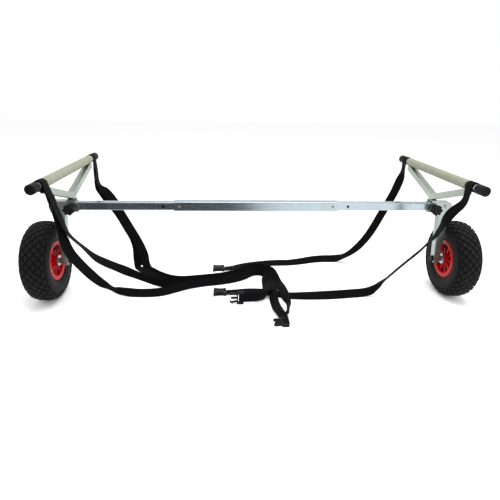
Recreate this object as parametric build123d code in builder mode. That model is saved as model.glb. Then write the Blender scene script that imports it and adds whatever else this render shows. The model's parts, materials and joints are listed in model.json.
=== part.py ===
"""Boat launching cart: a telescopic cross tube on two wheels, with two tilting hull cradles.

Millimetres. X runs across the cart, Y from front to rear, Z up. The wheels stand on Z = 0 and
Y = 0 is half way along the hull bars. Right-hand pieces are modelled and mirrored to the left.
"""

import os
from math import cos, pi, radians, sin, tan

from build123d import *

os.makedirs("parts", exist_ok=True)

# ---- running gaps -------------------------------------------------------------------------
slide_gap = 0.3            # flat faces that slide or turn past each other
bolt_gap = 0.05            # radial clearance of a bolt or axle in its hole
press_gap = 0.02           # radial gap of a piece pressed or clamped into its seat

# ---- cross tube ---------------------------------------------------------------------------
tube_y = -10.0             # cross tube, pivot and axle stand a little ahead of the bar's middle
tube_z = 316.0             # height of the cross tube's centre line
centre_length = 525.0
centre_size = 30.0
centre_wall = 2.2
centre_corner = 2.5
inner_size = centre_size - 2 * centre_wall - 2 * slide_gap
inner_wall = 1.6
inner_corner = 2.0
overlap = 110.0            # length of inner tube held inside the centre tube
lock_inset = 18.0          # lock hole from the centre tube's end
lock_pitch = 50.0          # spacing of the lock holes in the inner tube
lock_hole_r = 4.2
plug_flange = 2.0
plug_depth = 15.0
plug_hole_r = 3.0

# ---- snap button --------------------------------------------------------------------------
button_r = 4.0
button_proud = 2.5         # how far the button stands out of the centre tube
button_flange_r = 5.6
button_flange = 1.0
leaf_thickness = 0.8
leaf_width = 8.0

# ---- socket bracket -----------------------------------------------------------------------
bracket_inner_x = 553.0
bracket_outer_x = 637.0
bracket_wall = 3.0
bracket_top_gap = 0.3
bracket_bottom_z = 299.0
bracket_corner_r = 6.0
bracket_end_wall = 2.5
bracket_end_slope = (6.0, 6.0)
bracket_lead_slope = (13.0, 14.0)

# ---- leg ----------------------------------------------------------------------------------
leg_inner_top_x = 600.0
leg_outer_top_x = 634.0
leg_inner_foot_x = 612.0
leg_outer_foot_x = 630.0
leg_foot_z = 117.0
leg_taper_z = 294.0
leg_wall = 2.0
leg_foot_r = 5.0
leg_bolt_x = 617.0
leg_bolt_z = 319.0
leg_bolt_r = 3.0
leg_bolt_head_r = 5.6
leg_bolt_head = 3.6

# ---- pivot and fork -----------------------------------------------------------------------
pivot_x = 578.0
pivot_z = 311.0
pivot_bolt_r = 4.0
pivot_head_r = 7.2
pivot_head = 5.3
pivot_thread_out = 18.0    # bolt past the front washer, inside the knob
washer_r = 8.0
washer_thickness = 1.5
fork_width = 20.0
fork_cheek = 2.5
fork_eye_r = 12.0
fork_web_z = 336.0
fork_web = 2.0

# ---- cradle arms and hull bar -------------------------------------------------------------
bar_z = 425.0
bar_r = 11.0
bar_wall = 1.6
bar_half_length = 275.0
arm_width = 20.0
arm_height = 17.6
arm_wall = 1.6
arm_end_flat = 6.0
front_reach = 190.0        # pivot to the front arm's outer end
rear_reach = 206.0
sleeve_front_y = -194.0
sleeve_rear_y = 208.0
sleeve_thickness = 2.3
sleeve_notch = 25.0
cap_r = 13.3
cap_length = 36.0
cap_end_wall = 4.0
cap_dimple_r = 7.0

# ---- star knob ----------------------------------------------------------------------------
knob_hub_r = 9.0
knob_hub = 6.0
knob_body_r = 13.5
knob_thickness = 17.0
knob_lobes = 7
knob_lobe_r = 4.2
knob_lobe_circle_r = 13.0
knob_edge = 1.6

# ---- wheel --------------------------------------------------------------------------------
wheel_x = 682.0
axle_z = 130.0             # the tyre's outer radius
tyre_half_width = 42.5
tyre_wall = 7.0
bead_x = 30.0
bead_r = 58.0
bead_top_r = 64.5
shoulder_x = 34.0
shoulder_r = 118.0
belly_r = 92.0
rim_half_width = 33.0
rim_flange_r = 64.0
rim_barrel_r = 56.0
rim_barrel = 5.0
rim_web = 5.0
rim_hub_r = 18.0
rim_hub_half = 36.0
rim_ribs = 10
rim_rib = 4.0
rim_rib_half = 27.0
bearing_r = 10.0
bearing_length = 12.0
axle_r = 6.0
axle_head_r = 8.6
axle_head = 4.5
axle_cap_r = 10.4
axle_cap_wall = 1.4
spacer_r = 9.0
hub_washer_r = 17.5
hub_washer = 2.2
outer_washer_r = 12.0
nut_flats = 18.0
nut_height = 9.0
axle_tail = 1.5

# ---- webbing and buckles ------------------------------------------------------------------
strap_r = 3.8              # a round tube with the section area of 30 by 1.5 mm webbing
strap_width = 28.0
loop_thickness = 3.0
loop_front_y = -216.0
loop_rear_y = 226.0
tail_thickness = 3.2
tail_drop = 21.0           # from the bar's centre line to the end of a right-hand tail
glide_width = 46.0
glide_height = 24.0
glide_thickness = 3.0
glide_slot = 5.0
glide_tilt = 27.0          # the front left tail leans to the rear by this many degrees
female_size = (43.0, 46.0, 13.0)
female_waist = 15.5
male_base = (22.0, 44.0, 10.0)
male_prong = 24.0
floor_gap = 0.2


def front_plane(y):
    """An upright plane across the cart whose normal points to the front."""
    return Plane.XZ.offset(-y)


def side_plane(x, z=0.0):
    """An upright plane along the cart at x, centred on the cross tube's line, normal to +X."""
    return Plane(origin=(x, tube_y, z), x_dir=(0, 1, 0), z_dir=(1, 0, 0))


def save(name, piece):
    """Label a finished piece and write it to its own file."""
    piece.part.label = name
    export_step(piece.part, f"parts/{name}.step")


def save_pair(name, right):
    """Write the right-hand piece, and its mirror image for the left."""
    save(f"right_{name}", right)
    with BuildPart() as left:
        mirror(right.part, about=Plane.YZ)
    save(f"left_{name}", left)


def cross_hole(x, z, radius, reach=60.0):
    """Cut a round hole from front to rear through the piece being built."""
    with BuildSketch(front_plane(tube_y)) as hole:
        with Locations((x, z)):
            Circle(radius)
    extrude(hole.sketch, amount=reach, both=True, mode=Mode.SUBTRACT)


# Places worked out from the sizes above
centre_half = centre_length / 2
lock_x = centre_half - lock_inset
inner_start_x = centre_half - overlap
inner_end_x = leg_inner_top_x - 2.0
inner_half = inner_size / 2
inner_bore = inner_size - 2 * inner_wall
bracket_inner_y = inner_half + slide_gap
bracket_outer_y = bracket_inner_y + bracket_wall
bracket_inner_top_z = tube_z + inner_half + bracket_top_gap
bracket_top_z = bracket_inner_top_z + bracket_wall
cheek_inner_y = bracket_outer_y + slide_gap
cheek_outer_y = cheek_inner_y + fork_cheek
washer_inner_y = cheek_outer_y + slide_gap
washer_outer_y = washer_inner_y + washer_thickness
arm_foot_z = fork_web_z + fork_web
loop_bore_r = bar_r + slide_gap
loop_outer_r = loop_bore_r + loop_thickness
tail_x = loop_outer_r - tail_thickness / 2


def make_centre_tube():
    """Outer square tube with a lock hole near each end, in the front wall."""
    with BuildPart() as tube:
        with BuildSketch(side_plane(-centre_half, tube_z)):
            RectangleRounded(centre_size, centre_size, centre_corner)
            bore = centre_size - 2 * centre_wall
            RectangleRounded(bore, bore, centre_corner - centre_wall + 1.0, mode=Mode.SUBTRACT)
        extrude(amount=centre_length)
        with BuildSketch(front_plane(tube_y)):
            with Locations((-lock_x, tube_z), (lock_x, tube_z)):
                Circle(lock_hole_r)
        extrude(amount=centre_size, mode=Mode.SUBTRACT)
    save("centre_tube", tube)


def make_inner_tube():
    """Square tube that slides in the centre tube and ends inside the bracket."""
    with BuildPart() as tube:
        with BuildSketch(side_plane(inner_start_x, tube_z)):
            RectangleRounded(inner_size, inner_size, inner_corner)
            RectangleRounded(inner_bore, inner_bore, inner_corner / 2, mode=Mode.SUBTRACT)
        extrude(amount=inner_end_x - inner_start_x)
        with BuildSketch(front_plane(tube_y)):
            for step in (-1, 0, 1):
                with Locations((lock_x + step * lock_pitch, tube_z)):
                    Circle(lock_hole_r)
        extrude(amount=centre_size, mode=Mode.SUBTRACT)
        cross_hole(pivot_x, pivot_z, pivot_bolt_r + bolt_gap)
    save_pair("inner_tube", tube)


def make_tube_end_plug():
    """Plastic plug in the hidden end of the inner tube."""
    with BuildPart() as plug:
        with BuildSketch(side_plane(inner_start_x, tube_z)):
            RectangleRounded(inner_size, inner_size, inner_corner)
        extrude(amount=-plug_flange)
        with BuildSketch(side_plane(inner_start_x, tube_z)):
            body = inner_bore - 2 * press_gap
            RectangleRounded(body, body, inner_corner / 2)
        extrude(amount=plug_depth)
        with BuildSketch(side_plane(inner_start_x, tube_z)):
            Circle(plug_hole_r)
        extrude(amount=plug_depth + plug_flange, both=True, mode=Mode.SUBTRACT)
    save_pair("tube_end_plug", plug)


def make_snap_button():
    """Round button that stands out through both tube walls and locks the width."""
    tip = centre_size / 2 + button_proud
    seat = inner_half - inner_wall - press_gap
    with BuildPart() as button:
        with BuildSketch(front_plane(tube_y - seat)):
            with Locations((lock_x, tube_z)):
                Circle(button_r)
        extrude(amount=tip - seat)
        fillet(button.faces().sort_by(Axis.Y)[0].edges(), radius=1.4)
        with BuildSketch(front_plane(tube_y - seat)):
            with Locations((lock_x, tube_z)):
                Circle(button_flange_r)
        extrude(amount=-button_flange)
    save_pair("snap_button", button)


def make_snap_spring():
    """Bent leaf spring between the button and the inner tube's back wall."""
    back = inner_half - inner_wall - slide_gap - leaf_thickness / 2
    front = -(inner_half - inner_wall) + button_flange + 0.15 + leaf_thickness / 2
    with BuildPart() as leaf:
        with BuildSketch(Plane.XY.offset(tube_z - leaf_width / 2)):
            with BuildLine():
                Polyline(
                    (lock_x - 6, tube_y + front),
                    (lock_x + 8, tube_y + front),
                    (lock_x + 34, tube_y + front / 4),
                    (lock_x + 42, tube_y + back / 2),
                    (lock_x + 34, tube_y + back),
                    (lock_x + 6, tube_y + back),
                )
            trace(line_width=leaf_thickness)
        extrude(amount=leaf_width)
    save_pair("snap_spring", leaf)


def make_bracket():
    """Folded steel channel over the tube's end and the leg's top, closed at its outer end."""
    run, rise = bracket_lead_slope
    drop_x, drop_z = bracket_end_slope
    outline = [
        (bracket_inner_x, bracket_bottom_z),
        (bracket_outer_x, bracket_bottom_z),
        (bracket_outer_x, bracket_top_z - drop_z),
        (bracket_outer_x - drop_x, bracket_top_z),
        (bracket_inner_x + run, bracket_top_z),
        (bracket_inner_x, bracket_top_z - rise),
    ]
    with BuildPart() as bracket:
        with BuildSketch(front_plane(tube_y)) as face:
            with BuildLine():
                Polyline(*outline, close=True)
            make_face()
            lower = face.vertices().group_by(Axis.Z)[0]
            fillet(lower, radius=bracket_corner_r)
        extrude(amount=bracket_outer_y, both=True)
        inside_length = bracket_outer_x - bracket_end_wall - bracket_inner_x + bracket_wall
        inside_height = bracket_inner_top_z - bracket_bottom_z + bracket_wall
        with BuildSketch(front_plane(tube_y)):
            with Locations((bracket_outer_x - bracket_end_wall, bracket_inner_top_z)):
                Rectangle(inside_length, inside_height, align=(Align.MAX, Align.MAX))
        extrude(amount=bracket_inner_y, both=True, mode=Mode.SUBTRACT)
        cross_hole(pivot_x, pivot_z, pivot_bolt_r + bolt_gap)
        cross_hole(leg_bolt_x, leg_bolt_z, leg_bolt_r + bolt_gap)
    save_pair("bracket", bracket)


def make_leg():
    """Tapered folded box from inside the bracket down to the axle."""
    top_z = bracket_inner_top_z - slide_gap
    outline = [
        (leg_inner_top_x, top_z),
        (leg_outer_top_x, top_z),
        (leg_outer_top_x, leg_taper_z),
        (leg_outer_foot_x, leg_foot_z),
        (leg_inner_foot_x, leg_foot_z),
        (leg_inner_top_x, leg_taper_z),
    ]
    hollow = [
        (leg_inner_top_x + leg_wall, top_z + leg_wall),
        (leg_outer_top_x - leg_wall, top_z + leg_wall),
        (leg_outer_top_x - leg_wall, leg_taper_z),
        (leg_outer_foot_x - leg_wall, leg_foot_z + leg_wall),
        (leg_inner_foot_x + leg_wall, leg_foot_z + leg_wall),
        (leg_inner_top_x + leg_wall, leg_taper_z),
    ]
    half_depth = bracket_inner_y - slide_gap
    with BuildPart() as leg:
        with BuildSketch(front_plane(tube_y)) as face:
            with BuildLine():
                Polyline(*outline, close=True)
            make_face()
            fillet(face.vertices().group_by(Axis.Z)[0], radius=leg_foot_r)
        extrude(amount=half_depth, both=True)
        with BuildSketch(front_plane(tube_y)):
            with BuildLine():
                Polyline(*hollow, close=True)
            make_face()
        extrude(amount=half_depth - leg_wall, both=True, mode=Mode.SUBTRACT)
        with BuildSketch(side_plane(leg_inner_top_x - leg_wall, axle_z)):
            Circle(axle_r + bolt_gap)
        extrude(amount=leg_outer_top_x - leg_inner_top_x + 2 * leg_wall, mode=Mode.SUBTRACT)
        cross_hole(leg_bolt_x, leg_bolt_z, leg_bolt_r + bolt_gap)
    save_pair("leg", leg)


def make_leg_bolt():
    """Round-headed rivet bolt through the bracket and the leg."""
    shoulder = bracket_outer_y + press_gap
    with BuildPart() as bolt:
        with BuildSketch(front_plane(tube_y)):
            with Locations((leg_bolt_x, leg_bolt_z)):
                Circle(leg_bolt_r)
        extrude(amount=shoulder, both=True)
        for side in (-1, 1):
            with BuildSketch(front_plane(tube_y + side * shoulder)):
                with Locations((leg_bolt_x, leg_bolt_z)):
                    Circle(leg_bolt_head_r)
            extrude(amount=-side * leg_bolt_head)
        fillet(bolt.faces().sort_by(Axis.Y)[0].edges(), radius=1.8)
        fillet(bolt.faces().sort_by(Axis.Y)[-1].edges(), radius=1.8)
    save_pair("leg_bolt", bolt)


def make_pivot_bolt():
    """Hexagon bolt that the cradle tilts on, with its thread in the star knob."""
    back = washer_outer_y + press_gap
    with BuildPart() as bolt:
        with BuildSketch(front_plane(tube_y + back)):
            with Locations((pivot_x, pivot_z)):
                Circle(pivot_bolt_r)
        extrude(amount=back + washer_outer_y + pivot_thread_out)
        with BuildSketch(front_plane(tube_y + back)):
            with Locations((pivot_x, pivot_z)):
                RegularPolygon(pivot_head_r, 6)
        extrude(amount=-pivot_head)
        chamfer(bolt.faces().sort_by(Axis.Y)[-1].edges(), length=0.7)
    save_pair("pivot_bolt", bolt)


def make_pivot_washers():
    """Two washers, one against each cheek of the fork."""
    with BuildPart() as washers:
        for side in (-1, 1):
            with BuildSketch(front_plane(tube_y + side * washer_inner_y)):
                with Locations((pivot_x, pivot_z)):
                    Circle(washer_r)
                    Circle(pivot_bolt_r + bolt_gap, mode=Mode.SUBTRACT)
            extrude(amount=-side * washer_thickness)
    save_pair("pivot_washers", washers)


def make_star_knob():
    """Lobed clamping knob on the front of the pivot."""
    hub_face = washer_outer_y + slide_gap
    body_face = hub_face + knob_hub
    with BuildPart() as knob:
        with BuildSketch(front_plane(tube_y - body_face)):
            with Locations((pivot_x, pivot_z)):
                Circle(knob_body_r)
                with PolarLocations(knob_lobe_circle_r, knob_lobes):
                    Circle(knob_lobe_r)
        extrude(amount=knob_thickness)
        fillet(knob.faces().sort_by(Axis.Y)[0].edges(), radius=knob_edge)
        with BuildSketch(front_plane(tube_y - hub_face)):
            with Locations((pivot_x, pivot_z)):
                Circle(knob_hub_r)
        extrude(amount=knob_hub)
        with BuildSketch(front_plane(tube_y - hub_face)):
            with Locations((pivot_x, pivot_z)):
                Circle(pivot_bolt_r + bolt_gap)
        extrude(amount=pivot_thread_out, mode=Mode.SUBTRACT)
    save_pair("star_knob", knob)


def make_fork():
    """Folded saddle: a web under the arms and a cheek on each side of the bracket."""
    height = arm_foot_z - pivot_z
    with BuildPart() as fork:
        with BuildSketch(front_plane(tube_y)):
            with Locations((pivot_x, pivot_z)):
                Circle(fork_eye_r)
                Rectangle(fork_width, height, align=(Align.CENTER, Align.MIN))
        extrude(amount=cheek_outer_y, both=True)
        with BuildSketch(front_plane(tube_y)):
            with Locations((pivot_x, fork_web_z)):
                Rectangle(2 * fork_width, 3 * fork_width, align=(Align.CENTER, Align.MAX))
        extrude(amount=cheek_inner_y, both=True, mode=Mode.SUBTRACT)
        cross_hole(pivot_x, pivot_z, pivot_bolt_r + bolt_gap)
    save_pair("fork", fork)


def make_arm(name, direction, reach):
    """Square tube of the V, from the fork's web up to the underside of the hull bar."""
    bar_bottom = bar_z - bar_r
    end_top = bar_bottom + 2.0
    apex_top = arm_foot_z + arm_height
    slope = (bar_bottom - apex_top) / (reach - arm_end_flat)
    end_low = arm_foot_z + slope * reach
    outline = [
        (0, arm_foot_z),
        (direction * reach, end_low),
        (direction * reach, end_top),
        (direction * (reach - arm_end_flat), end_top),
        (0, apex_top + 2.0 - slope * arm_end_flat / 2),
    ]
    low = arm_foot_z + arm_wall
    high = apex_top - arm_wall
    past = reach + arm_wall
    hollow = [
        (-direction * arm_wall, low - slope * arm_wall),
        (direction * past, low + slope * past),
        (direction * past, min(high + slope * past, bar_bottom - arm_wall)),
        (direction * (bar_bottom - arm_wall - high) / slope, bar_bottom - arm_wall),
        (-direction * arm_wall, high - slope * arm_wall),
    ]
    with BuildPart() as arm:
        with BuildSketch(side_plane(pivot_x)):
            with BuildLine():
                Polyline(*outline, close=True)
            make_face()
        extrude(amount=arm_width / 2, both=True)
        with BuildSketch(side_plane(pivot_x)):
            with BuildLine():
                Polyline(*hollow, close=True)
            make_face()
        extrude(amount=arm_width / 2 - arm_wall, both=True, mode=Mode.SUBTRACT)
        with BuildSketch(front_plane(0)):
            with Locations((pivot_x, bar_z)):
                Circle(bar_r)
        extrude(amount=bar_half_length, both=True, mode=Mode.SUBTRACT)
    save_pair(name, arm)


def make_hull_bar():
    """Round tube that carries the hull."""
    with BuildPart() as bar:
        with BuildSketch(front_plane(0)):
            with Locations((pivot_x, bar_z)):
                Circle(bar_r)
                Circle(bar_r - bar_wall, mode=Mode.SUBTRACT)
        extrude(amount=bar_half_length, both=True)
    save_pair("hull_bar", bar)


def make_bar_sleeve():
    """Plastic sleeve over the bar, notched at each end for the arm below it."""
    arms_end = (tube_y - front_reach, tube_y + rear_reach)
    with BuildPart() as sleeve:
        with BuildSketch(front_plane(sleeve_rear_y)):
            with Locations((pivot_x, bar_z)):
                Circle(bar_r + press_gap + sleeve_thickness)
                Circle(bar_r + press_gap, mode=Mode.SUBTRACT)
        extrude(amount=sleeve_rear_y - sleeve_front_y)
        for end_y, inward, limit_y in (
            (arms_end[0], 1, sleeve_front_y),
            (arms_end[1], -1, sleeve_rear_y),
        ):
            stop_y = end_y + inward * sleeve_notch
            with BuildSketch(Plane.XY.offset(bar_z - bar_r - sleeve_thickness - 2.0)):
                with Locations((pivot_x, (stop_y + limit_y - inward) / 2)):
                    Rectangle(arm_width + 2 * slide_gap, abs(stop_y - limit_y + inward))
            extrude(amount=sleeve_thickness + 6.0, mode=Mode.SUBTRACT)
    save_pair("bar_sleeve", sleeve)


def make_bar_caps():
    """A rubber cap on each end of the hull bar."""
    with BuildPart() as caps:
        for side in (-1, 1):
            tip = side * (bar_half_length + cap_end_wall)
            with BuildSketch(front_plane(tip)):
                with Locations((pivot_x, bar_z)):
                    Circle(cap_r)
            extrude(amount=side * cap_length)
            with BuildSketch(front_plane(side * bar_half_length)):
                with Locations((pivot_x, bar_z)):
                    Circle(bar_r + press_gap)
            extrude(amount=side * cap_length, mode=Mode.SUBTRACT)
            with BuildSketch(front_plane(tip)):
                with Locations((pivot_x, bar_z)):
                    Circle(cap_dimple_r)
            extrude(amount=side * 1.0, mode=Mode.SUBTRACT)
        fillet(caps.faces().sort_by(Axis.Y)[0].outer_wire().edges(), radius=2.0)
        fillet(caps.faces().sort_by(Axis.Y)[-1].outer_wire().edges(), radius=2.0)
    save_pair("bar_caps", caps)


def revolve_on_axle(outline):
    """Turn an outline of (distance from the wheel's middle, radius) points about the axle."""
    with BuildSketch(front_plane(tube_y)) as section:
        with BuildLine():
            Polyline(*[(wheel_x + x, axle_z + r) for x, r in outline], close=True)
        make_face()
    revolve(section.sketch, axis=Axis((0, tube_y, axle_z), (1, 0, 0)))


def make_tyre():
    """Pneumatic tyre: an open carcass whose beads sit between the rim's flanges."""
    def at(x, r):
        return (wheel_x + x, axle_z + r)

    inner_belly_x = tyre_half_width - tyre_wall
    inner_shoulder = (shoulder_x - tyre_wall * 0.75, shoulder_r - tyre_wall * 0.75)
    toe_x = bead_x - tyre_wall
    with BuildPart() as tyre:
        with BuildSketch(front_plane(tube_y)):
            with BuildLine():
                Line(at(-toe_x, bead_r), at(-bead_x, bead_r))
                Line(at(-bead_x, bead_r), at(-bead_x, bead_top_r))
                ThreePointArc(
                    at(-bead_x, bead_top_r),
                    at(-tyre_half_width, belly_r),
                    at(-shoulder_x, shoulder_r),
                )
                ThreePointArc(
                    at(-shoulder_x, shoulder_r), at(0, axle_z), at(shoulder_x, shoulder_r)
                )
                ThreePointArc(
                    at(shoulder_x, shoulder_r),
                    at(tyre_half_width, belly_r),
                    at(bead_x, bead_top_r),
                )
                Line(at(bead_x, bead_top_r), at(bead_x, bead_r))
                Line(at(bead_x, bead_r), at(toe_x, bead_r))
                ThreePointArc(at(toe_x, bead_r), at(inner_belly_x, belly_r), at(*inner_shoulder))
                ThreePointArc(
                    at(*inner_shoulder),
                    at(0, axle_z - tyre_wall),
                    at(-inner_shoulder[0], inner_shoulder[1]),
                )
                ThreePointArc(
                    at(-inner_shoulder[0], inner_shoulder[1]),
                    at(-inner_belly_x, belly_r),
                    at(-toe_x, bead_r),
                )
            make_face()
        revolve(axis=Axis((0, tube_y, axle_z), (1, 0, 0)))
    save_pair("tyre", tyre)


def make_tyre_tube():
    """Air tube inside the tyre, resting on the rim's barrel."""
    low = rim_barrel_r + slide_gap
    high = axle_z - tyre_wall - slide_gap
    wall = 2.0
    half_width = tyre_half_width - tyre_wall - 2.0
    with BuildPart() as tube:
        with BuildSketch(front_plane(tube_y)):
            with Locations((wheel_x, axle_z + (low + high) / 2)):
                Ellipse(half_width, (high - low) / 2)
                Ellipse(half_width - wall, (high - low) / 2 - wall, mode=Mode.SUBTRACT)
        revolve(axis=Axis((0, tube_y, axle_z), (1, 0, 0)))
    save_pair("tyre_tube", tube)


def make_rim():
    """Moulded wheel centre: hub, ribbed disc and flanged barrel."""
    flange_x = bead_x + slide_gap
    barrel_in_r = rim_barrel_r - rim_barrel
    with BuildPart() as rim:
        revolve_on_axle(
            [
                (-rim_hub_half, bearing_r),
                (rim_hub_half, bearing_r),
                (rim_hub_half, rim_hub_r),
                (-rim_hub_half, rim_hub_r),
            ]
        )
        revolve_on_axle(
            [
                (-rim_web / 2, rim_hub_r - 1),
                (rim_web / 2, rim_hub_r - 1),
                (rim_web / 2, barrel_in_r + 1),
                (-rim_web / 2, barrel_in_r + 1),
            ]
        )
        revolve_on_axle(
            [
                (-rim_half_width, barrel_in_r),
                (rim_half_width, barrel_in_r),
                (rim_half_width, rim_flange_r),
                (flange_x, rim_flange_r),
                (flange_x, rim_barrel_r),
                (-flange_x, rim_barrel_r),
                (-flange_x, rim_flange_r),
                (-rim_half_width, rim_flange_r),
            ]
        )
        rib_length = barrel_in_r - rim_hub_r + 2
        with BuildSketch(side_plane(wheel_x, axle_z)):
            with PolarLocations((rim_hub_r + barrel_in_r) / 2, rim_ribs):
                Rectangle(rib_length, rim_rib)
        extrude(amount=rim_rib_half, both=True)
        with BuildSketch(side_plane(wheel_x, axle_z)):
            Circle(bearing_r)
        extrude(amount=rim_hub_half, both=True, mode=Mode.SUBTRACT)
    save_pair("rim", rim)


def make_bearings():
    """Two bushes pressed into the hub."""
    with BuildPart() as bearings:
        for side in (-1, 1):
            with BuildSketch(side_plane(wheel_x + side * rim_hub_half, axle_z)):
                Circle(bearing_r - press_gap)
                Circle(axle_r + bolt_gap, mode=Mode.SUBTRACT)
            extrude(amount=-side * bearing_length)
    save_pair("bearings", bearings)


leg_slope = (leg_inner_foot_x - leg_inner_top_x) / (leg_taper_z - leg_foot_z)
leg_inner_axle_x = leg_inner_foot_x - leg_slope * (axle_z - leg_foot_z)
leg_outer_axle_x = leg_outer_foot_x + (leg_outer_top_x - leg_outer_foot_x) * (
    (axle_z + spacer_r - leg_foot_z) / (leg_taper_z - leg_foot_z)
)
hub_inner_x = wheel_x - rim_hub_half
hub_outer_x = wheel_x + rim_hub_half
nut_x = hub_outer_x + slide_gap + hub_washer + press_gap
head_x = leg_inner_axle_x - leg_slope * axle_cap_r


def make_axle():
    """Axle bolt from the leg's inner face out through the wheel."""
    with BuildPart() as axle:
        with BuildSketch(side_plane(head_x, axle_z)):
            Circle(axle_head_r)
        extrude(amount=-axle_head)
        with BuildSketch(side_plane(head_x, axle_z)):
            Circle(axle_r)
        extrude(amount=nut_x + nut_height + axle_tail - head_x)
        chamfer(axle.faces().sort_by(Axis.X)[-1].edges(), length=1.0)
    save_pair("axle", axle)


def make_axle_cap():
    """Black plastic cap over the axle's head on the leg's inner side."""
    depth = axle_head + axle_cap_wall + press_gap
    with BuildPart() as cap:
        with BuildSketch(side_plane(head_x, axle_z)):
            Circle(axle_cap_r)
        extrude(amount=-depth)
        fillet(cap.faces().sort_by(Axis.X)[0].edges(), radius=1.2)
        with BuildSketch(side_plane(head_x, axle_z)):
            Circle(axle_head_r + press_gap)
        extrude(amount=-(axle_head + press_gap), mode=Mode.SUBTRACT)
    save_pair("axle_cap", cap)


def make_axle_spacers():
    """Spacer sleeve, large inner washer and smaller outer washer."""
    inner_washer_x = hub_inner_x - slide_gap - hub_washer
    rings = [
        (leg_outer_axle_x, inner_washer_x - press_gap, spacer_r),
        (inner_washer_x, inner_washer_x + hub_washer, hub_washer_r),
        (hub_outer_x + slide_gap, hub_outer_x + slide_gap + hub_washer, outer_washer_r),
    ]
    with BuildPart() as spacers:
        for start, end, radius in rings:
            with BuildSketch(side_plane(start, axle_z)):
                Circle(radius)
                Circle(axle_r + bolt_gap, mode=Mode.SUBTRACT)
            extrude(amount=end - start)
    save_pair("axle_spacers", spacers)


def make_axle_nut():
    """Lock nut on the axle's outer end."""
    with BuildPart() as nut:
        with BuildSketch(side_plane(nut_x, axle_z)):
            RegularPolygon(nut_flats / 2, 6, major_radius=False)
            Circle(axle_r + bolt_gap, mode=Mode.SUBTRACT)
        extrude(amount=nut_height)
    save_pair("axle_nut", nut)


def loop_ring(side, y):
    """Webbing wrapped round the hull bar at y, on the side's bar."""
    with BuildSketch(front_plane(y + strap_width / 2)) as ring:
        with Locations((side * pivot_x, bar_z)):
            Circle(loop_outer_r)
    extrude(ring.sketch, amount=strap_width)


def loop_bore(side, y):
    """The bar's way through the webbing."""
    with BuildSketch(front_plane(y + strap_width / 2)) as bore:
        with Locations((side * pivot_x, bar_z)):
            Circle(loop_bore_r)
    extrude(bore.sketch, amount=strap_width, mode=Mode.SUBTRACT)


def hang(drop, tilt, start_y):
    """The point at drop below the bar's centre line along a tail that leans by tilt degrees."""
    return start_y + drop * sin(radians(tilt)), bar_z - drop * cos(radians(tilt))


def tail(side, start_y, drop, tilt):
    """Flat tail of a loop, down the bar's inner side."""
    mid_y, mid_z = hang(drop / 2, tilt, start_y)
    spot = Location((side * (pivot_x - tail_x), mid_y, mid_z), (tilt, 0, 0))
    with Locations(spot):
        Box(tail_thickness, strap_width, drop)


left_tail_drop = 53.0      # from the bar's centre line to a left-hand adjuster's upper edge


def make_strap_loops():
    """Webbing loops round each hull bar, with the tails that the straps go on from."""
    with BuildPart() as right:
        for y in (loop_front_y, loop_rear_y):
            loop_ring(1, y)
            tail(1, y, tail_drop, 0)
            loop_bore(1, y)
    save("right_strap_loops", right)
    with BuildPart() as left:
        for y, tilt in ((loop_front_y, glide_tilt), (loop_rear_y, 0)):
            loop_ring(-1, y)
            tail(-1, y, left_tail_drop, tilt)
            loop_bore(-1, y)
    save("left_strap_loops", left)


def make_slide_adjusters():
    """Three-bar sliders on the two left straps."""
    with BuildPart() as glides:
        for y, tilt in ((loop_front_y, glide_tilt), (loop_rear_y, 0)):
            mid = left_tail_drop + glide_height / 2
            mid_y, mid_z = hang(mid, tilt, y)
            face = Plane(
                origin=(-(pivot_x - tail_x), mid_y, mid_z),
                x_dir=(0, cos(radians(tilt)), sin(radians(tilt))),
                z_dir=(1, 0, 0),
            )
            with BuildSketch(face):
                RectangleRounded(glide_width, glide_height, 3.0)
                with Locations((0, -glide_slot), (0, glide_slot)):
                    Rectangle(strap_width + 4, glide_slot, mode=Mode.SUBTRACT)
            extrude(amount=glide_thickness / 2, both=True)
    save("left_slide_adjusters", glides)


def female_buckle(centre_x, centre_y):
    """Buckle housing, open to the left, with its strap slot on the right."""
    length, width, height = female_size
    half = length / 2
    wide = width / 2
    base = Plane(origin=(centre_x, centre_y, floor_gap))
    wall = 3.0
    with BuildSketch(base) as outline:
        with BuildLine():
            ThreePointArc((-half, -wide), (0, -female_waist), (half, -wide + 3))
            Line((half, -wide + 3), (half, wide - 3))
            ThreePointArc((half, wide - 3), (0, female_waist), (-half, wide))
            Line((-half, wide), (-half, -wide))
        make_face()
    extrude(outline.sketch, amount=height)
    with BuildSketch(base.offset(wall)) as pocket:
        with Locations((-half, 0)):
            Rectangle(2 * (half + 9), 2 * (female_waist - 2.5))
        with Locations((-2, 0)):
            Rectangle(12, 2 * width)
    extrude(pocket.sketch, amount=height - 2 * wall, mode=Mode.SUBTRACT)
    with BuildSketch(base) as slot:
        with Locations((half - 6, 0)):
            Rectangle(4.5, strap_width + 4)
    extrude(slot.sketch, amount=height, mode=Mode.SUBTRACT)


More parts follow.
